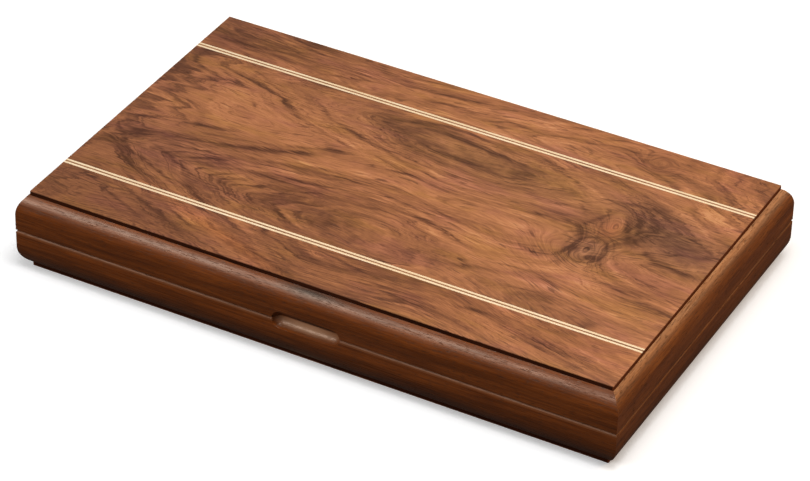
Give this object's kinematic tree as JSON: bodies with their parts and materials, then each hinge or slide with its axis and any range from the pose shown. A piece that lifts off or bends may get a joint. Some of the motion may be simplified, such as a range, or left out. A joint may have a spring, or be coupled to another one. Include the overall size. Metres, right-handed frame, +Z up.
{
  "type": "backgammon board",
  "caption": "Folding backgammon board: mitred wooden case, hinged along its back, with proud figured panels, inlaid stringing, a finger notch, and a playing field with side racks inside.",
  "frame": {"origin": "middle of the shut case's underside", "axes": "+X along the long side, -Y out of the front face with the finger notch, +Y out of the hinged back, +Z up through the lid"},
  "size_m": [0.48, 0.298, 0.065],
  "materials": {
    "walnut_rail": "satin",
    "figured_veneer": "satin",
    "panel_core": "satin",
    "light_wood": "satin",
    "dark_wood": "satin",
    "field_ground": "satin",
    "beech": "matt",
    "brass": "satin",
    "magnet": "polished"
  },
  "bodies": {
    "base": {"base_front_rail": "walnut_rail", "base_back_rail": "walnut_rail", "base_left_rail": "walnut_rail", "base_right_rail": "walnut_rail", "base_mitre_tongues": "beech", "base_panel_core": "panel_core", "base_veneer_front_band": "figured_veneer", "base_veneer_centre": "figured_veneer", "base_veneer_back_band": "figured_veneer", "base_stringing_light": "light_wood", "base_stringing_dark": "dark_wood", "base_field_ground": "field_ground", "base_points_light": "light_wood", "base_points_dark": "dark_wood", "base_rack_divider": "walnut_rail", "base_rack_block": "walnut_rail", "base_magnets": "magnet", "base_left_hinge_leaf": "brass", "base_right_hinge_leaf": "brass", "base_hinge_screws": "brass", "left_hinge_pin": "brass", "right_hinge_pin": "brass"},
    "lid": {"lid_front_rail": "walnut_rail", "lid_back_rail": "walnut_rail", "lid_left_rail": "walnut_rail", "lid_right_rail": "walnut_rail", "lid_mitre_tongues": "beech", "lid_panel_core": "panel_core", "lid_veneer_front_band": "figured_veneer", "lid_veneer_centre": "figured_veneer", "lid_veneer_back_band": "figured_veneer", "lid_stringing_light": "light_wood", "lid_stringing_dark": "dark_wood", "lid_field_ground": "field_ground", "lid_points_light": "light_wood", "lid_points_dark": "dark_wood", "lid_rack_divider": "walnut_rail", "lid_rack_block": "walnut_rail", "lid_magnets": "magnet", "lid_left_hinge_leaf": "brass", "lid_right_hinge_leaf": "brass", "lid_hinge_screws": "brass"}
  },
  "joints": [
    {"name": "lid_hinge", "type": "hinge", "parent": "base", "child": "lid", "pos_m": [0, 0.14775, 0.0325], "axis": [-1, 0, 0], "range_deg": [0, 180]}
  ]
}
